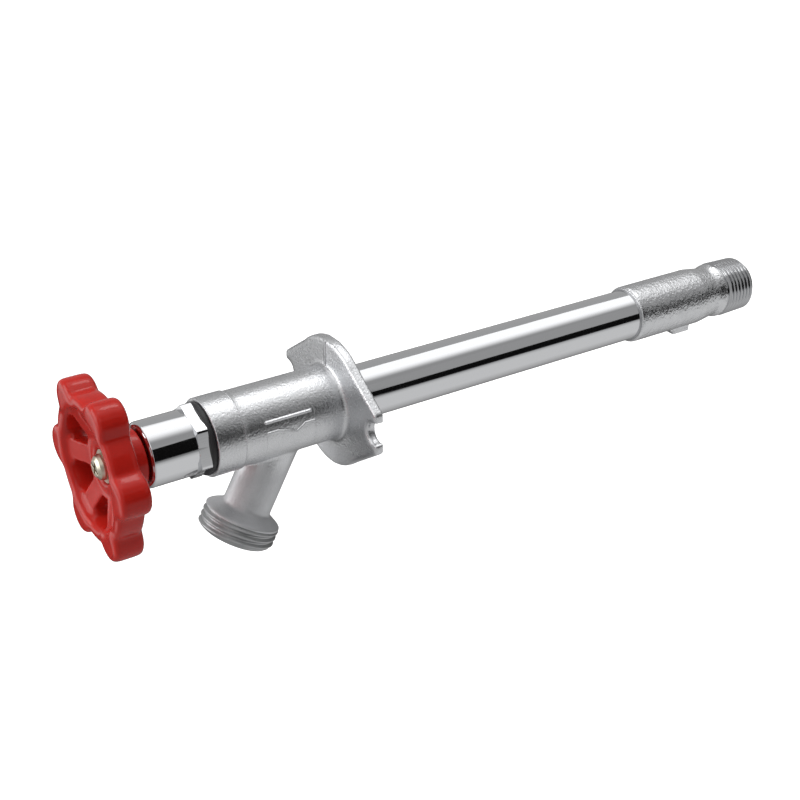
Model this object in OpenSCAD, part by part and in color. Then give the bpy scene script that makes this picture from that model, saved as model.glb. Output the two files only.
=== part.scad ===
// Frost free sillcock: an outdoor wall tap whose valve seat lies at the far end of a long barrel,
// inside the warm wall, so that the barrel drains through the spout each time the tap is shut.
// The wall face of the flange is the plane Y = 0. +Y runs into the wall, the handwheel is at -Y
// and +Z is up. The tap is drawn shut. Threads are plain cylinders at their outside diameter.

/* [Barrel tube] */
// Outside diameter of the barrel tube
tube_d = 19.05; // [17:0.05:23]
// Wall of the barrel tube
tube_wall = 1.2; // [0.8:0.1:1.6]
// Length of tube between the wall flange and the inlet fitting
tube_reach = 128; // [70:1:400]
// Depth of the soldered socket at each end of the tube
socket_depth = 14; // [9:0.5:15]

/* [Valve body] */
// Distance from the wall face to the front end of the body
body_len = 50.6; // [47:0.2:70]
// Metal around the tube's socket
body_wall = 3.3; // [2.4:0.1:5]
// Length of the turned land at the front end
land_len = 9.9; // [6:0.1:14]
// Metal around the bonnet's thread
head_wall = 3.15; // [2.4:0.05:5]
// Bevel at the front edge of the land
land_bevel = 0.5; // [0.2:0.1:1]

/* [Wall flange] */
// Width of the flange over its two ends
flange_w = 59.6; // [54:0.2:80]
// Height of the flange at the middle
flange_h = 45.8; // [38:0.2:52]
// Height of the flange at each end
flange_end_h = 14.4; // [11:0.2:18]
// Thickness at the parting ridge in the middle
flange_t = 3.8; // [3:0.1:6]
// Thickness at each end
flange_end_t = 3.2; // [2:0.1:3.6]
// Width of the open screw notch at each end
notch_d = 7.8; // [6:0.1:10]
// Distance from each end to where the notch's round bottom starts
notch_inset = 1.4; // [0.4:0.1:3]
// Radius of the blend between the flange and the body
flange_blend = 1.8; // [0.5:0.1:3]

/* [Spout] */
// Lean of the spout away from the wall, in degrees from straight down
spout_tilt = 28.7; // [15:0.1:32]
// Distance from the wall face to where the spout's axis meets the tap's axis
spout_setback = 19.3; // [19:0.1:24]
// Distance from the tap's axis to the outlet, along the spout
spout_len = 46; // [40:0.5:60]
// Width of the neck between its two moulded halves
neck_w = 16.2; // [15:0.1:18]
// Sharpness of the parting ridge along the neck
neck_ridge = 0.5; // [0.1:0.1:1]
// Bore of the spout
spout_bore_d = 11.6; // [8:0.1:12.4]
// Outside diameter of the hose thread
hose_d = 26.6; // [24:0.1:30]
// Length of the hose thread
hose_thread_len = 8.2; // [6:0.1:12]
// Height of the cone between the neck and the hose thread
hose_shoulder = 3.2; // [2:0.1:5]
// Bevel at the outlet edge of the hose thread
hose_bevel = 0.6; // [0.2:0.1:1.2]
// Diameter of the wider mouth inside the outlet
mouth_d = 16; // [14:0.1:19]
// Depth of the wider mouth
mouth_depth = 6; // [3:0.5:9]

/* [Inlet fitting] */
// Metal around the tube's socket in the inlet fitting
inlet_wall = 1.3; // [1:0.05:3]
// Length of the inlet fitting
inlet_len = 59.4; // [55:0.2:80]
// Depth of the cast waist below the fitting's surface
waist_depth = 1.1; // [0.4:0.1:1.6]
// Length of the slope that leads down to the waist
waist_run = 7.6; // [5:0.2:10]
// Length of the steeper slope from the waist up to the thread
waist_rise = 3; // [2:0.1:3.4]
// Length of the waist's floor
waist_floor = 1; // [0.4:0.1:1.6]
// Distance from the inlet end to the middle of the waist
waist_setback = 18.2; // [18:0.1:20]
// Outside diameter of the inlet pipe thread
inlet_thread_d = 21.2; // [20.8:0.05:23]
// Length of the inlet pipe thread
inlet_thread_len = 13.6; // [10:0.1:14.4]
// Bevel at the inlet end
inlet_bevel = 0.8; // [0.3:0.1:1.2]
// Bore of the soldering cup inside the inlet end
cup_d = 15.95; // [14:0.05:16.5]
// Depth of the soldering cup
cup_depth = 12.7; // [9:0.1:14]
// Bore of the waterway between the seat and the cup
inlet_bore_d = 12.8; // [11:0.1:13.4]
// Length of the lug under the fitting
lug_len = 8.5; // [5:0.5:10]
// Width of the lug
lug_w = 5; // [3:0.5:8]
// Height of the lug above the fitting's surface
lug_h = 3; // [1.5:0.1:4]
// Distance from the lug to the waist
lug_setback = 7.7; // [4:0.1:12]
// Bevel at the front edge, where the tube enters
inlet_lip = 0.7; // [0.2:0.05:0.85]

/* [Valve seat and washer] */
// Distance from the inlet fitting's front edge to the seat
seat_setback = 26; // [24:0.5:28]
// Bore of the valve seat
seat_bore_d = 9.6; // [8:0.1:10.4]
// Width of the raised seat's edge
seat_edge = 0.9; // [0.5:0.1:1.2]
// Height of the raised seat
seat_h = 1.2; // [0.6:0.1:2]
// Thickness of the metal behind the seat
seat_wall = 4.8; // [3:0.1:6]
// Thickness of the seat washer
washer_t = 4; // [3:0.1:5]
// How far the washer reaches past the seat's edge
washer_lap = 0.5; // [0.3:0.1:0.8]
// Depth of the carrier's rim around the washer
washer_grip = 2.4; // [1.2:0.1:2.6]
// Wall of the washer carrier
carrier_wall = 0.8; // [0.6:0.1:1]
// Thickness of the carrier's floor
carrier_floor = 3; // [2:0.1:4]
// Diameter of the washer screw's shank
washer_screw_d = 3; // [2.5:0.1:3.5]
// Diameter of the washer screw's head
washer_screw_head_d = 6; // [5:0.1:7]

/* [Stem] */
// Diameter of the operating rod
rod_d = 8; // [7:0.1:8.6]
// Rim of the rod's swivelling button
button_rim = 1.2; // [0.8:0.1:1.3]
// Thickness of the button
button_t = 2; // [1.5:0.1:3]
// Step between the swivel nut and the button's room
swivel_step = 0.5; // [0.3:0.1:0.8]
// Length of the swivel nut that holds the button in the carrier
swivel_nut_len = 3; // [2:0.1:4]
// Diameter of the spindle's shaft in the packing
shaft_d = 9.6; // [9:0.1:11]
// Wall of the spindle's skirt around the rod
skirt_wall = 1.8; // [1.4:0.1:2]
// Length of the skirt
skirt_len = 8; // [6:0.5:9]
// How far the square's corners lie inside the shaft
square_relief = 0.3; // [0.1:0.1:0.6]
// Rise of the spindle's thread above the skirt
thread_rise = 0.8; // [0.5:0.1:0.9]
// Distance from the thread's front end to the bottom of the rod's socket
rod_inset = 2; // [1:0.5:4]
// Length of the spindle's thread
thread_len = 10; // [8:0.5:12]
// Advance of the spindle in one turn
thread_lead = 3.175; // [2:0.005:3.5]
// Turns from shut to fully open
open_turns = 3; // [2:0.25:3.25]
// Diameter of the pin through the skirt and the rod
pin_d = 2.5; // [1.5:0.1:3]
// Length of the winged guide on the rod
guide_len = 10; // [6:0.5:14]
// Wall of the guide's hub
guide_hub_wall = 1.2; // [0.8:0.1:2]
// Thickness of each wing of the guide
guide_wing_t = 2.4; // [1.5:0.1:4]
// Distance of the guide from the inlet fitting
guide_setback = 28; // [22:1:40]

/* [Bonnet] */
// Length of the polished sleeve in front of the hexagon
sleeve_len = 15.6; // [13:0.1:22]
// Wall of the threaded neck
bonnet_wall = 1.65; // [1.3:0.05:2.4]
// Rise of the polished sleeve above the threaded neck
sleeve_rise = 0.95; // [0.5:0.05:2]
// Rise of the hexagon's flats above the sleeve
hex_rise = 0.15; // [0.05:0.05:1]
// Thickness of the hexagon
hex_t = 3.4; // [3:0.1:6]
// Turn of the hexagon, in degrees
hex_turn = 40; // [0:1:60]
// Length of the threaded neck inside the body
bonnet_neck_len = 8.6; // [7:0.1:9]
// Thickness of the front wall
bonnet_front_t = 2.4; // [1.5:0.1:3]
// Bevel at the front edge
sleeve_bevel = 1.2; // [0.4:0.1:1.5]
// Thickness of the fibre gasket between the hexagon and the body
gasket_t = 2.4; // [1:0.1:3]
// How far the gasket's edge lies inside the land
gasket_inset = 0.9; // [0.4:0.1:1.6]
// Radial thickness of the packing
packing_w = 3.5; // [3:0.1:4]
// Thickness of each packing ring
packing_t = 3.2; // [2.5:0.1:3.4]
// Number of packing rings
packing_count = 2; // [1:1:2]
// Distance from the stem nut's end to the neck's end
stem_nut_inset = 1; // [0.5:0.1:2]
// Thickness of the washer behind the packing
packing_washer_t = 1.2; // [0.8:0.1:1.6]

/* [Handwheel] */
// Diameter over the lobes
wheel_d = 59.4; // [54:0.2:72]
// Number of lobes
lobe_count = 6; // [5:1:7]
// Diameter of each lobe
lobe_d = 14; // [12:0.2:15]
// How far the lobes stand out in front of and behind the rim
lobe_rise = 0.4; // [0.2:0.1:1]
// Turn of the wheel when the tap is shut, in degrees
wheel_turn = 3.4; // [0:0.1:30]
// Diameter of the rim between the lobes
rim_d = 49; // [46:0.2:54]
// Radial thickness of the rim
rim_w = 5; // [4:0.1:7]
// Thickness of the wheel at its rim
wheel_t = 10.2; // [8:0.1:12]
// Rounding of the rim's and the lobes' edges
rim_round = 1.3; // [1:0.1:2.4]
// Width of each spoke
spoke_w = 7.2; // [6:0.1:9]
// Thickness of the dished spokes
spoke_t = 5.4; // [4:0.1:6.5]
// How far behind the wheel's front the spokes leave the rim
spoke_inset = 1.2; // [0.8:0.1:2.2]
// Metal between the hub and each window
window_inset = 1.5; // [1:0.1:3]
// Diameter of the hub
hub_d = 19; // [17:0.2:22]
// Length of the hub
hub_len = 12; // [9:0.1:14]
// Depth of the dish from the rim to the hub
dish_depth = 5.6; // [4:0.1:9]
// Room between the hub and the bonnet when the tap is shut
hub_room = 0.6; // [0.4:0.1:4]
// Depth of the round recess for the screw's washer in the hub's front
screw_recess = 1.4; // [0.5:0.1:3]
// Diameter of the handle screw
handle_screw_d = 4.2; // [3.5:0.1:4.8]
// Length of the handle screw under its head
screw_len = 9; // [6:0.5:12]
// Diameter of the handle screw's head
screw_head_d = 8.6; // [7.6:0.1:10]
// Height of the handle screw's head
screw_head_h = 3; // [2.2:0.1:4]
// Width of the cross slot in the screw's head
screw_slot_w = 1.1; // [0.8:0.1:1.4]
// Depth of the cross slot
screw_slot_depth = 1.3; // [0.8:0.1:1.6]
// Turn of the cross slot, in degrees
screw_slot_turn = 20; // [0:1:90]
// Diameter of the washer under the screw's head
handle_washer_d = 11; // [10:0.1:14]
// Thickness of the washer under the screw's head
handle_washer_t = 0.8; // [0.5:0.1:1.2]

/* [Clearances] */
// Radial room of shafts that turn and threads that run
run_gap = 0.05; // [0.02:0.01:0.1]
// Radial room of fixed fits and soldered joints
fit_gap = 0.05; // [0.02:0.01:0.1]
// Axial room of pieces that only touch under load
end_gap = 0.1; // [0.05:0.05:0.3]
// Radial room of the rod's button in the carrier
swivel_room = 0.3; // [0.2:0.05:0.5]
// Room between the spindle's thread and the packing washer when the tap is fully open
stop_room = 0.5; // [0.3:0.1:1]
// Radial room of the handle screw's washer in its recess
washer_room = 0.3; // [0.2:0.05:0.6]
// How far the spindle's square stops short of the recess
square_inset = 0.4; // [0.2:0.1:1]
// Radial room of the guide in the barrel
guide_gap = 0.3; // [0.2:0.05:0.6]

/* [Hidden] */
$fn = 96;

tube_r = tube_d / 2;
tube_bore_r = tube_r - tube_wall;
body_r = tube_r + body_wall;
body_front_y = -body_len;

// Stem, from the rod outwards
rod_r = rod_d / 2;
button_r = rod_r + button_rim;
swivel_room_r = button_r + swivel_room;
swivel_nut_r = swivel_room_r + swivel_step;
skirt_r = rod_r + skirt_wall;
thread_r = skirt_r + thread_rise;
shaft_r = shaft_d / 2;
square_w = shaft_d / sqrt(2) - square_relief;
stem_travel = thread_lead * open_turns;

// Bonnet, from the shaft outwards
bonnet_bore_r = shaft_r + run_gap + packing_w;
bonnet_neck_r = bonnet_bore_r + bonnet_wall;
sleeve_r = bonnet_neck_r + sleeve_rise;
hex_r = (sleeve_r + hex_rise) / cos(30);
land_r = bonnet_neck_r + fit_gap + head_wall;
gasket_r = land_r - gasket_inset;
hex_back_y = body_front_y - gasket_t;
hex_front_y = hex_back_y - hex_t;
bonnet_front_y = hex_front_y - sleeve_len;
bonnet_back_y = body_front_y + bonnet_neck_len;
packing_front_y = bonnet_front_y + bonnet_front_t;
packing_back_y = packing_front_y + packing_count * (packing_t + end_gap);
stem_nut_front_y = packing_back_y + packing_washer_t;
stem_nut_back_y = bonnet_back_y - stem_nut_inset;

// Spindle and rod along the axis, with the tap shut
thread_front_y = stem_nut_front_y + stem_travel + stop_room;
thread_back_y = thread_front_y + thread_len;
skirt_back_y = thread_back_y + skirt_len;
rod_front_y = thread_front_y + rod_inset;
pin_y = (thread_back_y + skirt_back_y) / 2;

// Valve end
inlet_front_y = tube_reach;
inlet_back_y = inlet_front_y + inlet_len;
inlet_r = tube_r + inlet_wall;
inlet_thread_r = inlet_thread_d / 2;
chamber_r = (tube_r + tube_bore_r) / 2;
seat_y = inlet_front_y + seat_setback;
seat_bore_r = seat_bore_d / 2;
washer_r = seat_bore_r + seat_edge + washer_lap;
carrier_r = max(washer_r, swivel_nut_r) + carrier_wall;
washer_back_y = seat_y - washer_t;
swivel_floor_y = washer_back_y - carrier_floor;
button_back_y = swivel_floor_y - end_gap;
button_front_y = button_back_y - button_t;
swivel_nut_back_y = button_front_y - end_gap;
swivel_nut_front_y = swivel_nut_back_y - swivel_nut_len;
guide_back_y = inlet_front_y - guide_setback + guide_len;
waist_r = inlet_r - waist_depth;
waist_front_y = inlet_back_y - waist_setback - waist_floor / 2;
waist_back_y = waist_front_y + waist_floor;
lug_back_y = waist_front_y - lug_setback;

// Solder at the tube's two mouths, and the sink for it in the back of the flange
solder_leg = inlet_wall - inlet_lip - fit_gap;
sink_depth = solder_leg + 2 * fit_gap;

// Handwheel along the axis, with the tap shut
hub_back_y = bonnet_front_y - hub_room;
hub_front_y = hub_back_y - hub_len;
rim_front_y = hub_front_y - dish_depth;
screw_floor_y = hub_front_y + screw_recess;
spindle_front_y = screw_floor_y + square_inset;
screw_seat_y = screw_floor_y - handle_washer_t;

// Spout
hose_r = hose_d / 2;
neck_r = neck_w / 2 + neck_ridge;
hose_front = spout_len - hose_thread_len;

// Depth below a surface at which a joined shape starts, so that two faces never just graze
tangent_sink = 0.1;
root_sink = 0.4;

// Colours
nickel = [0.72, 0.73, 0.74];
chrome = [0.82, 0.83, 0.85];
brass = [0.76, 0.62, 0.33];
red_paint = [0.66, 0.1, 0.1];
zinc = [0.78, 0.77, 0.68];
steel = [0.6, 0.61, 0.63];
fibre = [0.12, 0.12, 0.13];
rubber = [0.08, 0.08, 0.08];
acetal = [0.9, 0.9, 0.86];
ptfe = [0.93, 0.93, 0.92];
solder = [0.66, 0.67, 0.68];

// Sets a shape drawn along +Z on the tap's axis, starting at y
module on_axis(y) translate([0, y, 0]) rotate([-90, 0, 0]) children();

// A cylinder on the tap's axis from y0 to y1
module bar(r, y0, y1) on_axis(y0) cylinder(r = r, h = y1 - y0);

// A ring on the tap's axis from y0 to y1
module ring(r_out, r_in, y0, y1) on_axis(y0) difference() {
  cylinder(r = r_out, h = y1 - y0);
  translate([0, 0, -1]) cylinder(r = r_in, h = y1 - y0 + 2);
}

// Turns a profile of [radius, y] points about the tap's axis
module turned(profile) rotate([-90, 0, 0]) rotate_extrude() polygon(profile);

// Turns drawn shapes, with y up the page, about the tap's axis
module turned_shape() rotate([-90, 0, 0]) rotate_extrude() children();

// Sets a shape drawn along +Z on the spout's axis, starting at the tap's axis
module on_spout() translate([0, -spout_setback, 0]) rotate([180 - spout_tilt, 0, 0]) children();

// Outline of the flange: a round middle drawn out by tangents to two blunt ends, each with an open notch
module flange_outline() {
  r = flange_h / 2;
  end_x = flange_w / 2;
  end_z = flange_end_h / 2;
  tangent = atan2(end_z, end_x) + acos(r / norm([end_x, end_z]));
  tx = (r - tangent_sink) * cos(tangent);
  tz = (r - tangent_sink) * sin(tangent);
  difference() {
    union() {
      circle(r = r);
      polygon([
        [tx, tz], [end_x, end_z], [end_x, -end_z], [tx, -tz],
        [-tx, -tz], [-end_x, -end_z], [-end_x, end_z], [-tx, tz]
      ]);
    }
    for (side = [0, 180]) rotate(side) translate([end_x - notch_inset, 0]) {
      circle(d = notch_d);
      translate([0, -notch_d / 2]) square([flange_w, notch_d]);
    }
  }
}

// Flange plate, thinning from the parting ridge in the middle to both ends
module flange_plate() intersection() {
  on_axis(-flange_t) linear_extrude(flange_t) flange_outline();
  translate([0, 0, -flange_h]) linear_extrude(2 * flange_h) polygon([
    [-flange_w, 0], [-flange_w / 2, -flange_end_t], [0, -flange_t],
    [flange_w / 2, -flange_end_t], [flange_w, 0]
  ]);
}

// Neck of the spout: two round halves that meet in a parting ridge, and the hose collar
module spout_form() on_spout() {
  intersection_for(side = [-1, 1]) translate([side * neck_ridge, 0, 0])
    cylinder(r = neck_r, h = hose_front);
  rotate_extrude() polygon([
    [0, hose_front - hose_shoulder], [neck_w / 2 - root_sink, hose_front - hose_shoulder],
    [hose_r, hose_front], [hose_r, spout_len - hose_bevel], [hose_r - hose_bevel, spout_len], [0, spout_len]
  ]);
}

// Point at angle a of the hollow blend between the barrel and the flange
function flange_blend_point(a) = [
  body_r + flange_blend * (1 - cos(a)),
  -flange_end_t - flange_blend * (1 - sin(a))
];

module valve_body() color(nickel) difference() {
  union() {
    turned([
      [0, body_front_y], [land_r - land_bevel, body_front_y], [land_r, body_front_y + land_bevel],
      [land_r, body_front_y + land_len], [body_r, body_front_y + land_len],
      for (a = [0 : 15 : 90]) flange_blend_point(a),
      [body_r + flange_blend, -flange_end_t / 2], [0, -flange_end_t / 2]
    ]);
    flange_plate();
    spout_form();
  }
  bar(bonnet_neck_r + fit_gap, body_front_y - 1, bonnet_back_y + 1);
  bar(tube_bore_r, bonnet_back_y, 0);
  bar(tube_r + fit_gap, -socket_depth, 1);
  turned([
    [tube_r, -sink_depth - fit_gap], [tube_r + fit_gap + sink_depth, 0],
    [tube_r + fit_gap + sink_depth, 1], [tube_r, 1]
  ]);
  on_spout() cylinder(d = spout_bore_d, h = spout_len + 1);
  on_spout() translate([0, 0, spout_len - mouth_depth]) cylinder(d = mouth_d, h = mouth_depth + 1);
}

// Hexagon with the corners of its front side turned back at 30 degrees
module bonnet_hex() intersection() {
  flat_r = sleeve_r + hex_rise;
  on_axis(hex_front_y) rotate(-hex_turn) cylinder(r = hex_r, h = hex_t, $fn = 6);
  turned([
    [0, hex_front_y], [flat_r, hex_front_y], [hex_r, hex_front_y + (hex_r - flat_r) * tan(30)],
    [hex_r, hex_back_y], [0, hex_back_y]
  ]);
}

module bonnet() color(chrome) difference() {
  union() {
    turned([
      [0, bonnet_front_y], [sleeve_r - sleeve_bevel, bonnet_front_y],
      [sleeve_r, bonnet_front_y + sleeve_bevel],
      [sleeve_r, hex_front_y + hex_t / 2], [0, hex_front_y + hex_t / 2]
    ]);
    bonnet_hex();
    bar(bonnet_neck_r, hex_back_y - hex_t / 2, bonnet_back_y);
  }
  bar(shaft_r + run_gap, bonnet_front_y - 1, packing_front_y + 1);
  bar(bonnet_bore_r, packing_front_y, bonnet_back_y + 1);
}

module bonnet_gasket() color(fibre)
  ring(gasket_r, bonnet_neck_r + fit_gap, hex_back_y, body_front_y);

module packing_rings() color(ptfe) for (i = [0 : packing_count - 1]) {
  y = packing_front_y + i * (packing_t + end_gap);
  ring(bonnet_bore_r - fit_gap, shaft_r + run_gap, y, y + packing_t);
}

module packing_washer() color(brass)
  ring(bonnet_bore_r - fit_gap, shaft_r + 3 * run_gap, packing_back_y, stem_nut_front_y);

module stem_nut() color(brass)
  ring(bonnet_bore_r - fit_gap, thread_r + run_gap, stem_nut_front_y, stem_nut_back_y);

module barrel_tube() color(chrome)
  ring(tube_r, tube_bore_r, -socket_depth, inlet_front_y + socket_depth);

// Soft solder round the tube: sunk in the back of the flange, and standing at the mouth of the inlet fitting
module solder_fillets() color(solder) {
  r = tube_r + fit_gap / 2;
  turned([[r, -fit_gap - solder_leg], [r + solder_leg, -fit_gap], [r, -fit_gap]]);
  turned([[r, inlet_front_y - solder_leg], [r + solder_leg, inlet_front_y], [r, inlet_front_y]]);
}

module inlet_fitting() color(nickel) difference() {
  union() {
    turned([
      [0, inlet_front_y], [inlet_r - inlet_lip, inlet_front_y], [inlet_r, inlet_front_y + inlet_lip],
      [inlet_r, waist_front_y - waist_run], [waist_r, waist_front_y],
      [waist_r, waist_back_y], [inlet_r, waist_back_y + waist_rise],
      [inlet_thread_r, inlet_back_y - inlet_thread_len],
      [inlet_thread_r, inlet_back_y - inlet_bevel], [inlet_thread_r - inlet_bevel, inlet_back_y],
      [0, inlet_back_y]
    ]);
    translate([-lug_w / 2, lug_back_y - lug_len, -inlet_r - lug_h])
      cube([lug_w, lug_len, inlet_r / 2 + lug_h]);
  }
  bar(tube_r + fit_gap, inlet_front_y - 1, inlet_front_y + socket_depth);
  bar(chamber_r, inlet_front_y, seat_y);
  ring(chamber_r, seat_bore_r + seat_edge, seat_y - 1, seat_y + seat_h);
  bar(seat_bore_r, inlet_front_y, inlet_back_y);
  bar(inlet_bore_d / 2, seat_y + seat_wall, inlet_back_y);
  bar(cup_d / 2, inlet_back_y - cup_depth, inlet_back_y + 1);
}

// Operating spindle: a square for the wheel, a shaft for the packing, the thread and the rod's skirt
module spindle() color(brass) difference() {
  union() {
    on_axis(spindle_front_y) translate([-square_w / 2, -square_w / 2, 0])
      cube([square_w, square_w, hub_back_y - spindle_front_y + 1]);
    turned([
      [0, hub_back_y], [shaft_r, hub_back_y], [shaft_r, thread_front_y], [thread_r, thread_front_y],
      [thread_r, thread_back_y], [skirt_r, thread_back_y], [skirt_r, skirt_back_y], [0, skirt_back_y]
    ]);
  }
  bar(handle_screw_d / 2 + fit_gap, spindle_front_y - 1, screw_seat_y + screw_len + 1);
  bar(rod_r + fit_gap, rod_front_y, skirt_back_y + 1);
  translate([0, pin_y, -skirt_r - 1]) cylinder(d = pin_d + 2 * fit_gap, h = 2 * skirt_r + 2);
}

// Rod with the button that the washer carrier swivels on
module operating_rod() color(steel) difference() {
  union() {
    bar(rod_r, rod_front_y, button_back_y);
    bar(button_r, button_front_y, button_back_y);
  }
  translate([0, pin_y, -rod_r - 1]) cylinder(d = pin_d + 2 * fit_gap, h = 2 * rod_r + 2);
}

module rod_pin() color(steel) translate([0, pin_y, -skirt_r + end_gap])
  cylinder(d = pin_d, h = 2 * (skirt_r - end_gap));

// Three-winged guide that keeps the rod in the middle of the barrel and lets the water pass
module rod_guide() color(acetal) on_axis(guide_back_y - guide_len) linear_extrude(guide_len) difference() {
  union() {
    circle(r = rod_r + fit_gap + guide_hub_wall);
    intersection() {
      circle(r = tube_bore_r - guide_gap);
      for (wing = [0 : 2]) rotate(90 + 120 * wing) translate([0, -guide_wing_t / 2])
        square([tube_bore_r, guide_wing_t]);
    }
  }
  circle(r = rod_r + fit_gap);
}

// Rounded rectangle with one corner at the origin
module soft_square(w, h, r) {
  translate([r, 0]) square([w - 2 * r, h]);
  translate([0, r]) square([w, h - 2 * r]);
  for (x = [r, w - r], y = [r, h - r]) translate([x, y]) circle(r = r);
}

// Half of a rounded rectangle, for turning a soft-edged disc
module soft_half(w, h, r) {
  square([w - r, h]);
  translate([0, r]) square([w, h - 2 * r]);
  for (y = [r, h - r]) translate([w - r, y]) circle(r = r);
}

// Window between two spokes, drawn on +X
module wheel_window(r_in, r_out) difference() {
  half_pitch = 180 / lobe_count;
  apex = spoke_w / 2 / sin(half_pitch);
  intersection() {
    circle(r = r_out);
    polygon([
      [apex, 0],
      [apex + wheel_d * cos(half_pitch), wheel_d * sin(half_pitch)],
      [apex + wheel_d * cos(half_pitch), -wheel_d * sin(half_pitch)]
    ]);
  }
  circle(r = r_in);
}

// Dished handwheel: a rim with round lobes, spokes that slope back from the lobes to a deep hub
module handwheel() color(red_paint) {
  rim_r = rim_d / 2;
  rim_in_r = rim_r - rim_w;
  rim_mid_r = rim_r - rim_w / 2;
  hub_r = hub_d / 2;
  pitch = 360 / lobe_count;
  spoke_y = rim_front_y + spoke_inset;
  spoke_slope = (hub_front_y - spoke_y) / (rim_mid_r - hub_r);
  step_y = hub_front_y - spoke_slope * (rim_in_r - hub_r);
  difference() {
    union() {
      difference() {
        union() {
          turned_shape() translate([rim_in_r, rim_front_y + lobe_rise])
            soft_square(rim_w, wheel_t - 2 * lobe_rise, rim_round);
          for (i = [0 : lobe_count - 1]) on_axis(rim_front_y) rotate(-wheel_turn - i * pitch)
            translate([(wheel_d - lobe_d) / 2, 0]) rotate_extrude()
            soft_half(lobe_d / 2, wheel_t, rim_round);
        }
        turned([
          [0, rim_front_y - 1], [rim_in_r + spoke_inset, rim_front_y - 1], [rim_in_r, step_y + root_sink],
          [hub_r, hub_front_y + root_sink], [0, hub_front_y + root_sink]
        ]);
      }
      difference() {
        turned([
          [0, hub_front_y], [hub_r, hub_front_y], [rim_mid_r, spoke_y],
          [rim_mid_r, spoke_y + spoke_t], [hub_r, hub_front_y + spoke_t],
          [hub_r, hub_back_y], [0, hub_back_y]
        ]);
        on_axis(rim_front_y) for (i = [0 : lobe_count - 1]) rotate(-wheel_turn - (i + 0.5) * pitch)
          linear_extrude(wheel_t + dish_depth) wheel_window(hub_r + window_inset, rim_in_r + root_sink);
      }
    }
    bar(handle_washer_d / 2 + washer_room, hub_front_y - 1, screw_floor_y);
    on_axis(hub_front_y) translate([-square_w / 2 - fit_gap, -square_w / 2 - fit_gap, 0])
      cube([square_w + 2 * fit_gap, square_w + 2 * fit_gap, hub_len + 1]);
  }
}

module handle_washer() color(zinc)
  ring(handle_washer_d / 2, handle_screw_d / 2 + 2 * fit_gap, screw_seat_y, screw_floor_y);

// Pan head screw with a cross slot
module handle_screw() color(zinc) difference() {
  head_r = screw_head_d / 2;
  slot_len = 0.6 * screw_head_d;
  // Shares of the head's radius and height along its round top
  crown = [[0.62, 1], [0.9, 0.72], [1, 0.35]];
  turned([
    [0, screw_seat_y - screw_head_h],
    for (share = crown) [head_r * share[0], screw_seat_y - screw_head_h * share[1]],
    [head_r, screw_seat_y], [handle_screw_d / 2, screw_seat_y],
    [handle_screw_d / 2, screw_seat_y + screw_len], [0, screw_seat_y + screw_len]
  ]);
  on_axis(screw_seat_y - screw_head_h - 1) for (turn = [0, 90]) rotate(turn + screw_slot_turn)
    translate([-slot_len / 2, -screw_slot_w / 2, 0])
    cube([slot_len, screw_slot_w, screw_slot_depth + 1]);
}

// Cup that holds the seat washer and swivels on the rod's button, so that the washer doesn't scrub the seat
module seat_carrier() color(brass) difference() {
  bar(carrier_r, swivel_nut_front_y, washer_back_y + washer_grip);
  bar(swivel_nut_r + fit_gap, swivel_nut_front_y - 1, swivel_nut_back_y);
  bar(swivel_room_r, swivel_nut_front_y, swivel_floor_y);
  bar(washer_screw_d / 2 + fit_gap, swivel_nut_front_y, seat_y);
  bar(washer_r + fit_gap, washer_back_y, seat_y + 1);
}

module swivel_nut() color(brass)
  ring(swivel_nut_r, rod_r + run_gap, swivel_nut_front_y, swivel_nut_back_y);

module seat_washer() color(rubber)
  ring(washer_r, washer_screw_d / 2 + fit_gap, washer_back_y, seat_y);

module washer_screw() color(brass) {
  head_r = washer_screw_head_d / 2;
  head_h = 1.8;
  turned([
    [0, swivel_floor_y], [washer_screw_d / 2, swivel_floor_y], [washer_screw_d / 2, seat_y],
    [head_r, seat_y], [head_r, seat_y + head_h * 0.5], [head_r * 0.7, seat_y + head_h], [0, seat_y + head_h]
  ]);
}

valve_body();
bonnet();
bonnet_gasket();
packing_rings();
packing_washer();
stem_nut();
barrel_tube();
solder_fillets();
inlet_fitting();
spindle();
operating_rod();
rod_pin();
rod_guide();
handwheel();
handle_washer();
handle_screw();
seat_carrier();
swivel_nut();
seat_washer();
washer_screw();
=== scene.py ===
import math

import bmesh
import bpy
from mathutils import Matrix, Vector
from mathutils.geometry import intersect_point_line


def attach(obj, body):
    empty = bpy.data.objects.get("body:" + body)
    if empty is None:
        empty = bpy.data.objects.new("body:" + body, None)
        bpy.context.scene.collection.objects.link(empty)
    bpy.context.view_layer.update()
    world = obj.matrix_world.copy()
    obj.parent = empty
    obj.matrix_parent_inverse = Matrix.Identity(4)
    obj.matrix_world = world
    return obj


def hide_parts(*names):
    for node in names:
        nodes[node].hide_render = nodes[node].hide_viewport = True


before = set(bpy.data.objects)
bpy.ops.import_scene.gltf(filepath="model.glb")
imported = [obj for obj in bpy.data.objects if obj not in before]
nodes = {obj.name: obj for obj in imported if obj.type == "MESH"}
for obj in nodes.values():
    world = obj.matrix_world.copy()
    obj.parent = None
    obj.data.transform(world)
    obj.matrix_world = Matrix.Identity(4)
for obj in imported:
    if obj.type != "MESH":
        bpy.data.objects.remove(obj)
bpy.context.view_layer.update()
scene = bpy.context.scene
scene.view_settings.view_transform = "Standard"
mm = 0.001
print("frame loaded,", len(nodes), "nodes")


def aimAt(thing, place, aim):
    # puts the camera or a lamp in the scene, turned to its target
    thing.location = place
    thing.rotation_euler = (Vector(aim) - Vector(place)).to_track_quat("-Z", "Y").to_euler()
    scene.collection.objects.link(thing)


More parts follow.
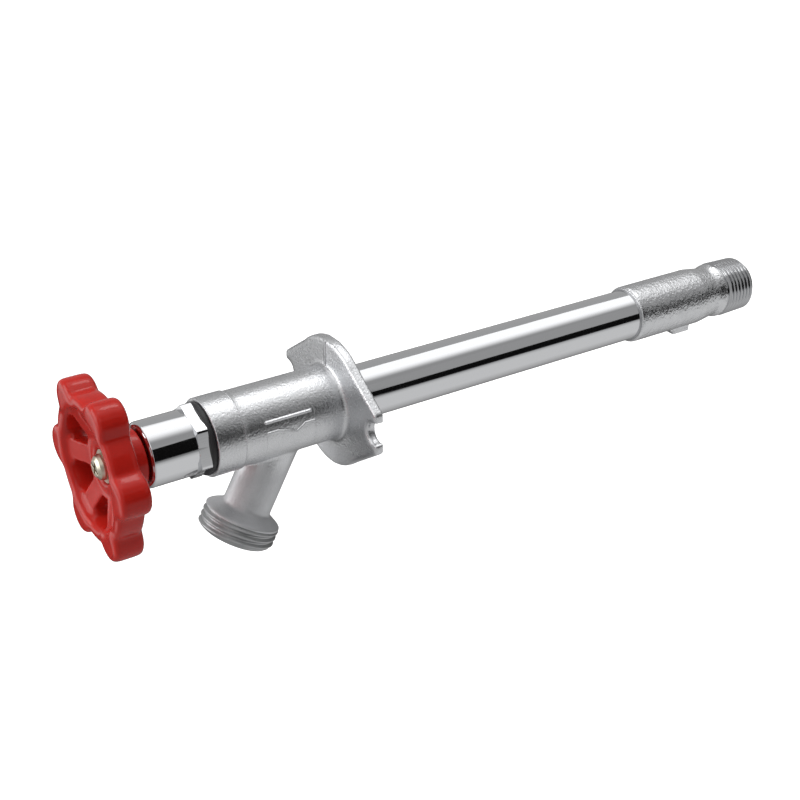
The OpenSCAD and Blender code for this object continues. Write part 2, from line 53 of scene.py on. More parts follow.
# camera at the photograph's viewing angle, worked out from the round edges of the tap
shot = {"place": (0.36503, -0.21190, 0.21762), "aim": (-0.00972, 0.03193, -0.01384),
        "lens": 63.0, "sensor": 36.0}
camera = bpy.data.objects.new("photoCamera", bpy.data.cameras.new("photoCamera"))
camera.data.lens = shot["lens"]
camera.data.sensor_width = shot["sensor"]
aimAt(camera, shot["place"], shot["aim"])
scene.camera = camera


def linear(code):
    # "#rrggbb" as a screen shows it, to the linear colour that a shader takes
    parts = [int(code[i:i + 2], 16) / 255 for i in (1, 3, 5)]
    return tuple(c / 12.92 if c <= 0.04045 else ((c + 0.055) / 1.055) ** 2.4 for c in parts) + (1.0,)


def fill(tree, node, inputs):
    # each socket gets its value, or a link where the value is another node's output
    for key, value in inputs.items():
        if isinstance(value, bpy.types.NodeSocket):
            tree.links.new(value, node.inputs[key])
        else:
            node.inputs[key].default_value = value


def addNode(tree, kind, inputs=None, **settings):
    node = tree.nodes.new(kind)
    for key, value in settings.items():
        setattr(node, key, value)
    fill(tree, node, inputs or {})
    return node


def newMaterial(name):
    material = bpy.data.materials.new(name)
    material.use_nodes = True
    tree = material.node_tree
    place = addNode(tree, "ShaderNodeTexCoord").outputs["Object"]
    return material, tree, tree.nodes["Principled BSDF"], place


mixA, mixB, mixOut = 6, 7, 2  # colour sockets of a Mix node

# chrome plate: a mirror with a faint haze and the finest lengthwise polishing lines,
# drawn 0.4 mm wide and 25 mm long so that they show
chromePlate, tree, shader, place = newMaterial("chromePlate")
lines = addNode(tree, "ShaderNodeMapping", {"Vector": place, "Scale": (2600, 40, 2600)})
fine = addNode(tree, "ShaderNodeTexNoise", {"Vector": lines.outputs[0], "Scale": 1.0, "Detail": 3.0})
haze = addNode(tree, "ShaderNodeTexNoise", {"Vector": place, "Scale": 130.0, "Detail": 4.0})  # clouds of 8 mm
rough = addNode(tree, "ShaderNodeMapRange", {"Value": haze.outputs[0], "To Min": 0.03, "To Max": 0.11})
bump = addNode(tree, "ShaderNodeBump", {"Height": fine.outputs[0], "Strength": 0.03, "Distance": 0.0001})
fill(tree, shader, {"Metallic": 1.0, "Base Color": linear("#e4e5e7"),
                    "Roughness": rough.outputs[0], "Normal": bump.outputs[0]})

# plated castings: bright grey skin, grainy from the sand mould and duller low down, where it was not polished;
# the inlet's skin is coarser, and the hose collar's is dull all over; the grit is 0.7 mm so that it shows
skins = {
    "platedCasting": {"smooth": 0.22, "dull": 0.36, "under": 0.3, "dark": "#d4d5d7", "pale": "#e4e5e7",
                      "relief": 0.45, "pits": 0.3, "pitScale": 900},  # pits of 1.1 mm
    "sandCasting": {"smooth": 0.12, "dull": 0.24, "under": 0.0, "dark": "#d6d7d9", "pale": "#e8e9eb",
                    "relief": 0.58, "pits": 0.65, "pitScale": 720},  # pits of 1.4 mm
    "dullPlate": {"smooth": 0.38, "dull": 0.52, "under": 0.0, "dark": "#b2b3b4", "pale": "#c8c9ca",
                  "relief": 0.3, "pits": 0.3, "pitScale": 900},
}
unpolished, polished = -0.018, -0.013  # heights in metres, all dull below the first
castings = {}
for name, skin in skins.items():
    castings[name], tree, shader, place = newMaterial(name)
    grain = addNode(tree, "ShaderNodeTexNoise", {"Vector": place, "Scale": 1500.0, "Detail": 3.0, "Roughness": 0.6})
    dimple = addNode(tree, "ShaderNodeTexVoronoi", {"Vector": place, "Scale": skin["pitScale"]})
    swell = addNode(tree, "ShaderNodeTexNoise", {"Vector": place, "Scale": 220.0, "Detail": 2.0})  # patches of 5 mm
    axes = addNode(tree, "ShaderNodeSeparateXYZ", {"Vector": place})
    pits = addNode(tree, "ShaderNodeMath", {0: dimple.outputs["Distance"], 1: skin["pits"]}, operation="MULTIPLY")
    height = addNode(tree, "ShaderNodeMath", {0: grain.outputs[0], 1: pits.outputs[0]}, operation="ADD")
    base = addNode(tree, "ShaderNodeMapRange", {"Value": grain.outputs[0],
                                                "To Min": skin["smooth"], "To Max": skin["dull"]})
    under = addNode(tree, "ShaderNodeMapRange", {"Value": axes.outputs["Z"], "From Min": unpolished,
                                                 "From Max": polished, "To Min": skin["under"], "To Max": 0.0})
    rough = addNode(tree, "ShaderNodeMath", {0: base.outputs[0], 1: under.outputs[0]}, operation="ADD")
    tint = addNode(tree, "ShaderNodeMix", {0: swell.outputs[0], mixA: linear(skin["dark"]),
                                           mixB: linear(skin["pale"])}, data_type="RGBA")
    bump = addNode(tree, "ShaderNodeBump", {"Height": height.outputs[0], "Strength": skin["relief"],
                                            "Distance": 0.0003})
    fill(tree, shader, {"Metallic": 1.0, "Base Color": tint.outputs[mixOut],
                        "Roughness": rough.outputs[0], "Normal": bump.outputs[0]})

# machined plate: the same plating on turned metal, smooth, with faint rings from the lathe,
# 0.35 mm apart: coarser than a lathe's own, so that they show
machinedPlate, tree, shader, place = newMaterial("machinedPlate")
rings = addNode(tree, "ShaderNodeTexWave", {"Vector": place, "Scale": 900.0, "Distortion": 0.6, "Detail": 2.0},
                wave_type="BANDS", bands_direction="Y")
haze = addNode(tree, "ShaderNodeTexNoise", {"Vector": place, "Scale": 700.0, "Detail": 3.0})  # clouds of 1.4 mm
rough = addNode(tree, "ShaderNodeMapRange", {"Value": haze.outputs[0], "To Min": 0.08, "To Max": 0.18})
bump = addNode(tree, "ShaderNodeBump", {"Height": rings.outputs[1], "Strength": 0.06, "Distance": 0.0001})
fill(tree, shader, {"Metallic": 1.0, "Base Color": linear("#c8c9cb"),
                    "Roughness": rough.outputs[0], "Normal": bump.outputs[0]})

# red enamel: glossy warm red with a slight orange peel, a little darker where the paint pools
redEnamel, tree, shader, place = newMaterial("redEnamel")
pool = addNode(tree, "ShaderNodeTexNoise", {"Vector": place, "Scale": 120.0, "Detail": 3.0})  # pools of 8 mm
peel = addNode(tree, "ShaderNodeTexNoise", {"Vector": place, "Scale": 700.0, "Detail": 1.0})  # peel of 1.4 mm
tint = addNode(tree, "ShaderNodeMix", {0: pool.outputs[0], mixA: linear("#a61912"), mixB: linear("#ba251c")},
               data_type="RGBA")
rough = addNode(tree, "ShaderNodeMapRange", {"Value": pool.outputs[0], "To Min": 0.11, "To Max": 0.17})
bump = addNode(tree, "ShaderNodeBump", {"Height": peel.outputs[0], "Strength": 0.12, "Distance": 0.0002})
fill(tree, shader, {"Base Color": tint.outputs[mixOut], "Roughness": rough.outputs[0], "Normal": bump.outputs[0],
                    "Specular IOR Level": 0.25, "Coat Weight": 0.05, "Coat Roughness": 0.1})

# zinc plate: pale metal with a straw tint, in clouds of 2 mm
zincPlate, tree, shader, place = newMaterial("zincPlate")
cloud = addNode(tree, "ShaderNodeTexNoise", {"Vector": place, "Scale": 500.0, "Detail": 4.0})
tint = addNode(tree, "ShaderNodeMix", {0: cloud.outputs[0], mixA: linear("#c4baa2"), mixB: linear("#d8d3c6")},
               data_type="RGBA")
rough = addNode(tree, "ShaderNodeMapRange", {"Value": cloud.outputs[0], "To Min": 0.22, "To Max": 0.4})
fill(tree, shader, {"Metallic": 1.0, "Base Color": tint.outputs[mixOut], "Roughness": rough.outputs[0]})

# black fibre: charcoal sheet with short pressed fibres of 0.6 mm, its cut edge rubbed to a dull shine
blackFibre, tree, shader, place = newMaterial("blackFibre")
strand = addNode(tree, "ShaderNodeTexNoise", {"Vector": place, "Scale": 1800.0, "Detail": 5.0, "Distortion": 1.5})
tint = addNode(tree, "ShaderNodeMix", {0: strand.outputs[0], mixA: linear("#141415"), mixB: linear("#2a2a2d")},
               data_type="RGBA")
bump = addNode(tree, "ShaderNodeBump", {"Height": strand.outputs[0], "Strength": 0.3, "Distance": 0.0002})
fill(tree, shader, {"Base Color": tint.outputs[mixOut], "Roughness": 0.45, "Normal": bump.outputs[0]})

# turned brass: yellow metal with rings from the lathe, 0.45 mm apart so that they show
turnedBrass, tree, shader, place = newMaterial("turnedBrass")
rings = addNode(tree, "ShaderNodeTexWave", {"Vector": place, "Scale": 700.0, "Distortion": 0.8, "Detail": 2.0},
                wave_type="BANDS", bands_direction="Y")
cloud = addNode(tree, "ShaderNodeTexNoise", {"Vector": place, "Scale": 200.0, "Detail": 3.0})  # clouds of 5 mm
tint = addNode(tree, "ShaderNodeMix", {0: cloud.outputs[0], mixA: linear("#b08d4a"), mixB: linear("#cfae66")},
               data_type="RGBA")
rough = addNode(tree, "ShaderNodeMapRange", {"Value": rings.outputs[1], "To Min": 0.2, "To Max": 0.34})
bump = addNode(tree, "ShaderNodeBump", {"Height": rings.outputs[1], "Strength": 0.1, "Distance": 0.0001})
fill(tree, shader, {"Metallic": 1.0, "Base Color": tint.outputs[mixOut],
                    "Roughness": rough.outputs[0], "Normal": bump.outputs[0]})

# drawn rod: grey stainless with long drawing lines, 0.3 by 33 mm so that they show
drawnRod, tree, shader, place = newMaterial("drawnRod")
lines = addNode(tree, "ShaderNodeMapping", {"Vector": place, "Scale": (3000, 30, 3000)})
fine = addNode(tree, "ShaderNodeTexNoise", {"Vector": lines.outputs[0], "Scale": 1.0, "Detail": 4.0})
rough = addNode(tree, "ShaderNodeMapRange", {"Value": fine.outputs[0], "To Min": 0.2, "To Max": 0.38})
bump = addNode(tree, "ShaderNodeBump", {"Height": fine.outputs[0], "Strength": 0.08, "Distance": 0.0001})
fill(tree, shader, {"Metallic": 1.0, "Base Color": linear("#b4b5b8"),
                    "Roughness": rough.outputs[0], "Normal": bump.outputs[0]})

# soft solder: dull silver with a frosted skin, its crystals 0.7 mm
softSolder, tree, shader, place = newMaterial("softSolder")
frost = addNode(tree, "ShaderNodeTexNoise", {"Vector": place, "Scale": 1400.0, "Detail": 3.0})
rough = addNode(tree, "ShaderNodeMapRange", {"Value": frost.outputs[0], "To Min": 0.3, "To Max": 0.5})
bump = addNode(tree, "ShaderNodeBump", {"Height": frost.outputs[0], "Strength": 0.2, "Distance": 0.0002})
fill(tree, shader, {"Metallic": 1.0, "Base Color": linear("#b9babd"),
                    "Roughness": rough.outputs[0], "Normal": bump.outputs[0]})

# white packing and plastic: waxy off-white, mottled in patches of 3 mm
whitePlastic, tree, shader, place = newMaterial("whitePlastic")
cloud = addNode(tree, "ShaderNodeTexNoise", {"Vector": place, "Scale": 300.0, "Detail": 3.0})
tint = addNode(tree, "ShaderNodeMix", {0: cloud.outputs[0], mixA: linear("#dcdbd4"), mixB: linear("#efeeea")},
               data_type="RGBA")
rough = addNode(tree, "ShaderNodeMapRange", {"Value": cloud.outputs[0], "To Min": 0.35, "To Max": 0.5})
fill(tree, shader, {"Base Color": tint.outputs[mixOut], "Roughness": rough.outputs[0]})

# black rubber: matt, with a faint dust in specks of 1 mm
blackRubber, tree, shader, place = newMaterial("blackRubber")
dust = addNode(tree, "ShaderNodeTexNoise", {"Vector": place, "Scale": 900.0, "Detail": 4.0})
tint = addNode(tree, "ShaderNodeMix", {0: dust.outputs[0], mixA: linear("#121212"), mixB: linear("#2b2b2b")},
               data_type="RGBA")
bump = addNode(tree, "ShaderNodeBump", {"Height": dust.outputs[0], "Strength": 0.2, "Distance": 0.0001})
fill(tree, shader, {"Base Color": tint.outputs[mixOut], "Roughness": 0.7, "Normal": bump.outputs[0]})
print("materials made")

# the pieces inside, and the washer under the handle screw, keep their solids
inner = {
    "packing_rings": whitePlastic, "packing_washer": turnedBrass, "stem_nut": turnedBrass, "spindle": turnedBrass,
    "operating_rod": drawnRod, "rod_pin": drawnRod, "rod_guide": whitePlastic, "seat_carrier": turnedBrass,
    "swivel_nut": turnedBrass, "seat_washer": blackRubber, "washer_screw": turnedBrass, "handle_washer": zincPlate,
}
for name, material in inner.items():
    nodes[name].data.materials.clear()
    nodes[name].data.materials.append(material)
print("solids dressed")


def spun(profile, steps=144, bm=None):
    # a closed profile of (radius, y) in mm, turned about the tap's axis
    bm = bmesh.new() if bm is None else bm
    dots = [bm.verts.new((r * mm, y * mm, 0)) for r, y in profile]
    edges = [bm.edges.new(pair) for pair in zip(dots, dots[1:] + dots[:1])]
    bmesh.ops.spin(bm, geom=dots + edges, cent=(0, 0, 0), axis=(0, 1, 0), dvec=(0, 0, 0),
                   angle=2 * math.pi, steps=steps, use_merge=True, use_duplicate=False)
    return bm


def roundedEdge(r, front, edge, parts=6):
    # profile points of a quarter round, from the front face out to the side
    angles = [math.radians(90 * i / parts) for i in range(parts + 1)]
    return [(r - edge * (1 - math.sin(a)), front + edge * (1 - math.cos(a))) for a in angles]


def soften(bm, verts, times):
    for step in range(times):
        bmesh.ops.smooth_vert(bm, verts=verts, factor=0.5, use_axis_x=True, use_axis_y=True, use_axis_z=True)


def castCopy(node, voxel, rounds, cut=None, worn=None, wear=0):
    # the solid's own shape with the soft edges that a sand mould leaves;
    # cut is a plane's point and outward direction, and worn picks spots that are rounded further
    bm = bmesh.new()
    bm.from_mesh(nodes[node].data)
    bmesh.ops.remove_doubles(bm, verts=bm.verts, dist=2e-6)
    if cut:
        point, outward = cut
        bmesh.ops.bisect_plane(bm, geom=bm.verts[:] + bm.edges[:] + bm.faces[:], dist=1e-7,
                               plane_co=point, plane_no=outward, clear_outer=True)
        bmesh.ops.triangle_fill(bm, edges=[e for e in bm.edges if e.is_boundary], use_beauty=True)
    rawMesh = bpy.data.meshes.new("raw")
    bm.to_mesh(rawMesh)
    bm.free()
    raw = bpy.data.objects.new("raw", rawMesh)
    scene.collection.objects.link(raw)
    remesh = raw.modifiers.new("remesh", "REMESH")
    remesh.mode = "VOXEL"
    remesh.voxel_size = voxel * mm
    evenMesh = bpy.data.meshes.new_from_object(raw.evaluated_get(bpy.context.evaluated_depsgraph_get()))
    bm = bmesh.new()
    bm.from_mesh(evenMesh)
    soften(bm, bm.verts, rounds)
    if worn:
        soften(bm, [v for v in bm.verts if worn(v.co / mm)], wear)
    bpy.data.objects.remove(raw)
    bpy.data.meshes.remove(rawMesh)
    bpy.data.meshes.remove(evenMesh)
    return bm


def meshObject(name, bm, material):
    mesh = bpy.data.meshes.new(name)
    bm.to_mesh(mesh)
    bm.free()
    mesh.materials.append(material)
    thing = bpy.data.objects.new(name, mesh)
    scene.collection.objects.link(thing)
    return thing


def makePiece(name, bm, material, body, replaced=(), sharp=35):
    bmesh.ops.remove_doubles(bm, verts=bm.verts, dist=1e-6)
    bmesh.ops.recalc_face_normals(bm, faces=bm.faces)
    piece = meshObject(name, bm, material)
    piece.data.shade_smooth()
    piece.data.set_sharp_from_angle(angle=math.radians(sharp))
    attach(piece, body)
    if replaced:
        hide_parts(*replaced)


ridge = {"steps": 72, "sink": 0.15, "foot": 0.94, "top": 0.16}  # foot and top as shares of half a pitch


def threadOn(bm, thread):
    # a right-hand ridge wound round a core, sunk a little into it and fading out at both ends
    start, end, pitch, crest = thread["start"], thread["end"], thread["pitch"], thread["crest"]
    half = pitch / 2
    base = thread["root"] - ridge["sink"]
    foot, top = ridge["foot"] * half, ridge["top"] * half
    turn = math.radians(thread["turn"])  # where it begins, on the side away from the camera
    dots = [bm.verts.new((r * mm * math.cos(turn), (start + y) * mm, r * mm * math.sin(turn)))
            for r, y in ((base, -foot), (crest, -top), (crest, top), (base, foot))]
    edges = [bm.edges.new(pair) for pair in zip(dots, dots[1:])]
    core = set(bm.verts) - set(dots)
    count = round((end - start) / pitch * ridge["steps"])
    bmesh.ops.spin(bm, geom=dots + edges, cent=(0, 0, 0), axis=(0, 1, 0), steps=count,
                   dvec=(0, pitch * mm / ridge["steps"], 0), angle=2 * math.pi * count / ridge["steps"])
    for v in [v for v in bm.verts if v not in core]:
        radius = math.hypot(v.co.x, v.co.z) / mm
        along = v.co.y / mm
        full = max(0.0, min(1.0, min(along - start + half, end + half - along) / thread["fade"]))
        wanted = min(radius, base + (radius - base) * full) - thread["taper"] * (along - start)
        v.co.x *= wanted / radius
        v.co.z *= wanted / radius


# handwheel: the dished red wheel, edges run soft under the enamel and softest on the rim and lobes
wheel = {"voxel": 0.4, "rounds": 8, "rim": 17.0, "wear": 26}
bm = castCopy("handwheel", wheel["voxel"], wheel["rounds"],
              worn=lambda p: math.hypot(p.x, p.z) > wheel["rim"], wear=wheel["wear"])
makePiece("handwheelCasting", bm, redEnamel, "stem", ["handwheel"], sharp=80)

# handle screw: pan head with a cross slot, its edges worn round
screw = {"voxel": 0.12, "rounds": 3}
bm = castCopy("handle_screw", screw["voxel"], screw["rounds"])
makePiece("handleScrew", bm, zincPlate, "stem", ["handle_screw"], sharp=60)
print("handwheel made")

# valve body: sand cast barrel, flange and spout, the flange worn at its edge;
# the hose collar takes over where the spout is cut
spout = {"root": -19.3, "tilt": math.radians(28.7), "cut": 38.7}
spoutAxis = Vector((0, -math.sin(spout["tilt"]), -math.cos(spout["tilt"])))
spoutSide = Vector((0, math.cos(spout["tilt"]), -math.sin(spout["tilt"])))
spoutRoot = Vector((0, spout["root"] * mm, 0))
onSpout = Matrix.Translation(spoutRoot) @ Matrix(((1, 0, 0), spoutAxis, spoutSide)).transposed().to_4x4()
body = {"voxel": 0.5, "rounds": 5, "flangeFront": -4.4, "flangeBack": -1.2, "flangeReach": 15.5, "wear": 5}


def onFlange(p):
    return body["flangeFront"] < p.y < body["flangeBack"] and math.hypot(p.x, p.z) > body["flangeReach"]


bm = castCopy("valve_body", body["voxel"], body["rounds"], (spoutRoot + spoutAxis * spout["cut"] * mm, spoutAxis),
              onFlange, body["wear"])
makePiece("bodyCasting", bm, castings["platedCasting"], "housing", ["valve_body"], sharp=80)

# parting line up the middle of the flange: a small step, where the two halves of the mould were out of line
parting = {"low": 13.4, "high": 22.3, "face": -3.76, "rise": 0.5, "run": 2.6, "drop": 0.46, "sink": 0.3,
           "soft": 0.06}
step = [(-parting["run"], parting["sink"]), (0, -parting["rise"]), (parting["drop"], parting["sink"])]
bm = bmesh.new()
for z in (parting["low"], parting["high"]):
    for x, y in step:
        bm.verts.new((x * mm, (parting["face"] + y) * mm, z * mm))
bmesh.ops.convex_hull(bm, input=bm.verts)
bmesh.ops.bevel(bm, geom=bm.edges, offset=parting["soft"] * mm, offset_type="OFFSET", segments=2, profile=0.5,
                affect="EDGES", material=-1)
makePiece("partingLine", bm, castings["platedCasting"], "housing", sharp=60)
print("body casting made")

# turned land at the front of the body, with a groove behind it
land = {"r": 13.26, "front": -50.65, "back": -40.6, "bore": 10.05, "edge": 0.5, "groove": -41.2, "gap": 0.26,
        "deep": 0.36, "chamfer": 0.2, "inside": 12.5, "lip": 1.5}
bm = spun([
    (land["bore"], land["front"]),
    *roundedEdge(land["r"], land["front"], land["edge"]),
    (land["r"], land["groove"] - land["gap"]),
    (land["r"] - land["deep"], land["groove"]),
    (land["r"], land["groove"] + land["gap"]),
    (land["r"], land["back"] - land["chamfer"]),
    (land["r"] - land["chamfer"], land["back"]),
    (land["inside"], land["back"]),
    (land["inside"], land["front"] + land["lip"]),
    (land["bore"], land["front"] + land["lip"]),
], steps=192)
makePiece("bodyLand", bm, castings["platedCasting"], "housing", sharp=50)

# flow arrow: raised strokes on the barrel's right side, on the faint pad of its mould insert;
# low, middle and high are degrees round the barrel, strokes are (y, distance round it from the middle)
arrow = {"r": 12.72, "from": -33.7, "to": -15.2, "low": -46.0, "high": 52.0, "middle": 17.4, "pad": 0.14,
         "rim": 0.3, "fade": 7.0, "hem": 0.01, "sink": 0.03, "ridge": 0.46, "half": 0.6, "cell": 0.14,
         "strokes": [[(-33.0, 1.75), (-16.8, 1.75)],
                     [(-33.0, -1.75), (-29.4, -1.75), (-22.6, -3.7), (-19.4, -1.75), (-15.9, -1.7)]]}
spread = math.radians(arrow["high"] - arrow["low"]) * arrow["r"]
length = arrow["to"] - arrow["from"]
sides = [(Vector(a), Vector(b)) for stroke in arrow["strokes"] for a, b in zip(stroke, stroke[1:])]


def distanceTo(spot, a, b):
    foot, share = intersect_point_line(spot, a, b)
    return (spot - foot).length if 0 < share < 1 else min((spot - a).length, (spot - b).length)


bm = bmesh.new()
bmesh.ops.create_grid(bm, x_segments=round(length / arrow["cell"]), y_segments=round(spread / arrow["cell"]),
                      size=0.5)
for v in bm.verts:
    u, w = v.co.x + 0.5, v.co.y + 0.5
    y = arrow["from"] + u * length
    angle = math.radians(arrow["low"]) + w * spread / arrow["r"]
    spot = Vector((y, (angle - math.radians(arrow["middle"])) * arrow["r"]))
    away = min(distanceTo(spot, a, b) for a, b in sides)
    border = min(u * length / arrow["rim"], (1 - u) * length / arrow["rim"],
                 w * spread / arrow["rim"], (1 - w) * spread / arrow["fade"])
    lift = arrow["pad"] * min(1.0, border)
    if border < arrow["hem"]:
        lift -= arrow["sink"]  # the outermost row dips under the skin
    if away < arrow["half"]:
        lift += arrow["ridge"] * 0.5 * (1 + math.cos(math.pi * away / arrow["half"]))
    r = (arrow["r"] + lift) * mm
    v.co = (r * math.cos(angle), y * mm, r * math.sin(angle))
makePiece("flowArrow", bm, castings["platedCasting"], "housing", sharp=80)

# hose collar with its coarse thread, drawn along +Y and then set on the spout
hose = {"start": 38.9, "end": 44.8, "pitch": 2.209, "root": 12.5, "crest": 13.3, "fade": 0.9, "taper": 0.0,
        "turn": 88.0,
        "collar": [(5.8, 37.2), (12.2, 37.2), (12.2, 38.1), (12.5, 38.9)],  # from the waterway out to the root
        "lip": [(12.5, 45.1), (11.7, 45.8), (11.3, 46.0), (8.5, 46.0)],
        "mouth": [(8.0, 45.6), (8.0, 40.0), (5.8, 40.0)]}
bm = spun(hose["collar"] + hose["lip"] + hose["mouth"])
threadOn(bm, hose)
bmesh.ops.transform(bm, matrix=onSpout, verts=bm.verts)
makePiece("hoseThread", bm, castings["dullPlate"], "housing")
print("spout made")

# bonnet: mirror bright sleeve and a thin hexagon with a neck behind it
sleeve = {"r": 10.95, "front": -72.0, "back": -56.4, "round": 1.1, "bore": 4.85, "inside": 8.4, "web": -69.6}
bm = spun([
    (sleeve["bore"], sleeve["front"]),
    *roundedEdge(sleeve["r"], sleeve["front"], sleeve["round"]),
    (sleeve["r"], sleeve["back"]),
    (sleeve["inside"], sleeve["back"]),
    (sleeve["inside"], sleeve["web"]),
    (sleeve["bore"], sleeve["web"]),
], steps=192)
makePiece("bonnetSleeve", bm, chromePlate, "housing", ["bonnet"])

hexagon = {"flat": 11.1, "corner": 12.7, "front": -56.4, "back": -52.6, "turn": 40.0, "slope": 0.08, "edge": 0.05,
           "face": 10.4, "neck": 10.0, "neckEnd": -42.0, "bore": 8.4}
bm = spun([
    (hexagon["face"], hexagon["front"]),
    (hexagon["flat"], hexagon["front"]),
    (hexagon["corner"], hexagon["front"] + hexagon["edge"]),
    (hexagon["corner"], hexagon["back"]),
    (hexagon["neck"], hexagon["back"]),
    (hexagon["neck"], hexagon["neckEnd"]),
    (hexagon["bore"], hexagon["neckEnd"]),
    (hexagon["bore"], hexagon["front"]),
], steps=192)
outside = (hexagon["flat"] + hexagon["corner"]) / 2
middle = (hexagon["front"] + hexagon["back"]) / 2
for v in bm.verts:
    r = math.hypot(v.co.x, v.co.z) / mm
    if r > outside:
        # flats cut the round, and the chamfer runs back towards each corner
        lean = math.degrees(math.atan2(v.co.z, v.co.x)) % 60 - 30
        reach = min(hexagon["flat"] / math.cos(math.radians(lean)), hexagon["corner"])
        v.co.x *= reach / r
        v.co.z *= reach / r
        if v.co.y < middle * mm:
            v.co.y += (reach - hexagon["flat"]) * hexagon["slope"] * mm
turned = Matrix.Rotation(math.radians(-hexagon["turn"]), 3, "Y")
bmesh.ops.rotate(bm, cent=(0, 0, 0), matrix=turned, verts=bm.verts)
makePiece("bonnetHexagon", bm, chromePlate, "housing", ["bonnet"], sharp=20)

# gasket: dark fibre washer, squeezed out a little between the hexagon and the body
gasket = {"r": 12.3, "bore": 10.05, "front": -52.6, "back": -50.6, "bulge": 0.45, "parts": 8}
thick = gasket["back"] - gasket["front"]
shares = [i / gasket["parts"] for i in range(gasket["parts"] + 1)]
bm = spun([
    (gasket["bore"], gasket["front"]),
    *[(gasket["r"] - gasket["bulge"] * (2 * s - 1) ** 2, gasket["front"] + s * thick) for s in shares],
    (gasket["bore"], gasket["back"]),
], steps=192)
makePiece("bonnetGasket", bm, blackFibre, "housing", ["bonnet_gasket"])
print("bonnet made")

# barrel: polished tube with a ring of solder at each of its two mouths
tube = {"r": 9.525, "bore": 8.325, "front": -14.0, "back": 142.0}
bm = spun([(tube["bore"], tube["front"]), (tube["r"], tube["front"]),
           (tube["r"], tube["back"]), (tube["bore"], tube["back"])], steps=240)
makePiece("barrelTube", bm, chromePlate, "housing", ["barrel_tube"])

solder = {"r": 9.55, "leg": 0.55, "sag": 0.1, "mouths": (-0.05, 128.0)}
bm = bmesh.new()
for mouth in solder["mouths"]:
    spun([(solder["r"], mouth), (solder["r"], mouth - solder["leg"]),
          (solder["r"] + solder["leg"] / 2 - solder["sag"], mouth - solder["leg"] / 2 + solder["sag"]),
          (solder["r"] + solder["leg"], mouth)], steps=192, bm=bm)
makePiece("solderRings", bm, softSolder, "housing", ["solder_fillets"], sharp=60)
print("barrel made")

# inlet fitting: cast waist and lug, then the pipe thread with the soldering cup inside
inlet = {"voxel": 0.4, "rounds": 5, "cut": 172.6}
bm = castCopy("inlet_fitting", inlet["voxel"], inlet["rounds"], ((0, inlet["cut"] * mm, 0), (0, 1, 0)))
makePiece("inletCasting", bm, castings["sandCasting"], "housing", ["inlet_fitting"], sharp=80)

pipe = {"start": 174.0, "end": 186.2, "pitch": 1.814, "root": 9.86, "crest": 10.82, "fade": 0.8, "taper": 0.031,
        "turn": 162.0,
        "collar": [(6.4, 172.0), (10.2, 172.0), (10.3, 173.0), (9.86, 173.5)],  # from the waterway out to the root
        "nose": [(9.47, 186.6), (9.0, 187.4), (8.2, 187.4)],
        "cup": [(7.975, 187.2), (7.975, 174.7), (6.4, 174.7)]}
bm = spun(pipe["collar"] + pipe["nose"] + pipe["cup"])
threadOn(bm, pipe)
makePiece("pipeThread", bm, machinedPlate, "housing")
print("inlet made")

# studio: pale floor well below the tap, white to the camera; where metal mirrors it, it glows with the painted
# shade and painted light below instead of its own lighting
studio = {"floor": -0.24, "reach": 6.0, "glow": 0.75, "ambient": 0.4, "white": 1.0}
paintedFloorShading = {  # along which axis, from and to in metres, first and last level
    "under": ("X", -0.25, 0.1, 0.08, 0.64),  # painted shadow of the tap, dark under it and to its left
    "far": ("X", 0.6, 1.8, 1.0, 0.3),  # painted fall-off of light, dimmer again far off to the right
    "front": ("Y", -0.1, 0.0, 0.8, 1.0),  # painted shade, a little dimmer in front of the flange
    "paintedPool": ("Y", -0.28, -0.235, 0.8, 0.0),  # and a painted pool of light before the wheel,
    "left": ("X", -0.2, 0.0, 1.0, 0.0),  # on the left only
}
floorMaterial, tree, shader, place = newMaterial("paleFloor")
speck = addNode(tree, "ShaderNodeTexNoise", {"Vector": place, "Scale": 60.0})  # specks of 17 mm
tint = addNode(tree, "ShaderNodeMix", {0: speck.outputs[0], mixA: linear("#d6d6d6"), mixB: linear("#dedede")},
               data_type="RGBA")
ray = addNode(tree, "ShaderNodeLightPath")
seen = addNode(tree, "ShaderNodeMath", {0: ray.outputs["Is Camera Ray"], 1: ray.outputs["Is Transmission Ray"]},
               operation="MAXIMUM")
glow = addNode(tree, "ShaderNodeMath", {0: seen.outputs[0], 1: studio["glow"]}, operation="MULTIPLY")
axes = addNode(tree, "ShaderNodeSeparateXYZ", {"Vector": place})
paintedLevels = {}
for name, (axis, start, end, first, last) in paintedFloorShading.items():
    span = addNode(tree, "ShaderNodeMapRange", {"Value": axes.outputs[axis], "From Min": start, "From Max": end,
                                                "To Min": first, "To Max": last})
    paintedLevels[name] = span.outputs[0]
# the painted levels combined: painted shadow and fall-off, times the painted shade before the flange, plus the
# painted pool of light
paintedShadowAndFalloff = addNode(tree, "ShaderNodeMath", {0: paintedLevels["under"], 1: paintedLevels["far"]}, operation="MULTIPLY")
paintedShade = addNode(tree, "ShaderNodeMath", {0: paintedShadowAndFalloff.outputs[0], 1: paintedLevels["front"]}, operation="MULTIPLY")
paintedLightPatch = addNode(tree, "ShaderNodeMath", {0: paintedLevels["paintedPool"], 1: paintedLevels["left"]}, operation="MULTIPLY")
shade = addNode(tree, "ShaderNodeMath", {0: paintedShade.outputs[0], 1: paintedLightPatch.outputs[0]}, operation="ADD")
